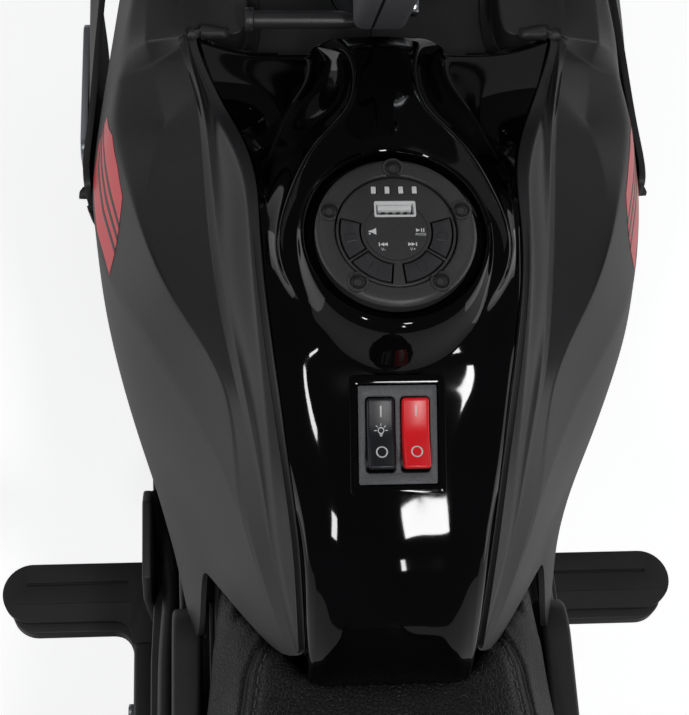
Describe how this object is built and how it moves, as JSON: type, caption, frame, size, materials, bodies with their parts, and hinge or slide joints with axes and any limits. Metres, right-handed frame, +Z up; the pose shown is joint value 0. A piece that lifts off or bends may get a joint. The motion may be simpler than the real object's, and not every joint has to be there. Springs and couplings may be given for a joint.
{
  "type": "ride-on motorcycle",
  "caption": "Child's battery ride-on motorcycle: moulded tank with a round player panel and rocker switches, steered fork, padded seat, driven rear wheel and training wheels.",
  "frame": {"origin": "on the floor, centred under the whole part", "axes": "+X to the rider's right, +Y forward, +Z up"},
  "size_m": [0.477, 1.0662, 0.6335],
  "materials": {
    "gloss_black": "high-gloss moulded black",
    "body_black": "fine-grained matt black",
    "panel_black": "semi-matt black",
    "button_black": "satin black",
    "seat_black": "padded black leatherette with sewn channels",
    "tyre_black": "matt black moulded tread",
    "rim_black": "satin black",
    "case_grey": "dark grey moulding",
    "steel": "plated steel",
    "silver": "silver paint",
    "white_lens": "translucent white",
    "clear_lens": "clear moulded lens",
    "red": "bright red"
  },
  "bodies": {
    "chassis": {"chassis_left": "body_black", "chassis_right": "body_black", "seat_base": "body_black", "seat_cushion": "seat_black", "tank_side_left": "body_black", "tank_side_right": "body_black", "tank_cover": "gloss_black", "panel_ring": "panel_black", "panel_face": "panel_black", "usb_socket": "steel", "led_bars": "white_lens", "switch_bezel": "case_grey", "shroud_left": "body_black", "shroud_right": "body_black", "radiator_left": "silver", "radiator_right": "silver", "battery": "case_grey", "motor": "steel", "gearbox": "case_grey", "control_box": "case_grey", "speaker": "case_grey", "charging_socket": "case_grey", "footrest_left": "body_black", "footrest_right": "body_black", "side_cover_left": "body_black", "side_cover_right": "body_black", "engine_cover_left": "rim_black", "engine_cover_right": "rim_black", "tail_cover": "body_black", "tail_light": "red", "exhaust": "silver", "swingarm_left": "body_black", "swingarm_right": "body_black", "rear_axle": "steel", "trainer_arm_left": "steel", "trainer_arm_right": "steel"},
    "steering": {"steering_column": "steel", "bar_clamp": "case_grey", "fork_left": "rim_black", "fork_right": "rim_black", "handlebar": "steel", "grip_left": "tyre_black", "throttle_housing": "case_grey", "front_mudguard": "body_black", "headlight_cowl": "gloss_black", "headlight_lens": "clear_lens", "front_axle": "steel"},
    "throttle": {"throttle_grip": "tyre_black"},
    "front_wheel": {"front_tyre": "tyre_black", "front_rim": "rim_black"},
    "rear_wheel": {"rear_tyre": "tyre_black", "rear_rim": "rim_black"},
    "trainer_left": {"trainer_wheel_left": "tyre_black"},
    "trainer_right": {"trainer_wheel_right": "tyre_black"},
    "mode_button": {"button_mode": "button_black"},
    "next_button": {"button_next": "button_black"},
    "previous_button": {"button_previous": "button_black"},
    "horn_button": {"button_horn": "button_black"},
    "light_rocker": {"rocker_light": "button_black"},
    "power_rocker": {"rocker_power": "red"}
  },
  "joints": [
    {"name": "steering_turn", "type": "hinge", "parent": "chassis", "child": "steering", "pos_m": [0, 0.213, 0.52], "axis": [0, -0.4067, 0.9135], "range_deg": [-30, 30]},
    {"name": "throttle_twist", "type": "hinge", "parent": "steering", "child": "throttle", "pos_m": [0.128, 0.16481, 0.61348], "axis": [0.9864, -0.1502, -0.0669], "range_deg": [0, 35], "stiffness_Nm_per_rad": 0.3},
    {"name": "front_wheel_spin", "type": "hinge", "parent": "steering", "child": "front_wheel", "pos_m": [0, 0.40306, 0.13], "axis": [1, 0, 0], "continuous": true},
    {"name": "rear_wheel_spin", "type": "hinge", "parent": "chassis", "child": "rear_wheel", "pos_m": [0, -0.345, 0.13], "axis": [1, 0, 0], "continuous": true},
    {"name": "trainer_left_spin", "type": "hinge", "parent": "chassis", "child": "trainer_left", "pos_m": [-0.205, -0.361, 0.056], "axis": [1, 0, 0], "continuous": true},
    {"name": "trainer_right_spin", "type": "hinge", "parent": "chassis", "child": "trainer_right", "pos_m": [0.205, -0.361, 0.056], "axis": [1, 0, 0], "continuous": true},
    {"name": "mode_press", "type": "slide", "parent": "chassis", "child": "mode_button", "axis": [0, 0.0523, -0.9986], "range_m": [0, 0.0012], "stiffness_N_per_m": 200},
    {"name": "next_press", "type": "slide", "parent": "chassis", "child": "next_button", "axis": [0, 0.0523, -0.9986], "range_m": [0, 0.0012], "stiffness_N_per_m": 200},
    {"name": "previous_press", "type": "slide", "parent": "chassis", "child": "previous_button", "axis": [0, 0.0523, -0.9986], "range_m": [0, 0.0012], "stiffness_N_per_m": 200},
    {"name": "horn_press", "type": "slide", "parent": "chassis", "child": "horn_button", "axis": [0, 0.0523, -0.9986], "range_m": [0, 0.0012], "stiffness_N_per_m": 200},
    {"name": "light_rocker_tilt", "type": "hinge", "parent": "chassis", "child": "light_rocker", "pos_m": [-0.0056, 0.04592, 0.50018], "axis": [1, 0, 0], "range_deg": [0, 20]},
    {"name": "power_rocker_tilt", "type": "hinge", "parent": "chassis", "child": "power_rocker", "pos_m": [0.0056, 0.04592, 0.50018], "axis": [1, 0, 0], "range_deg": [0, 20]}
  ]
}
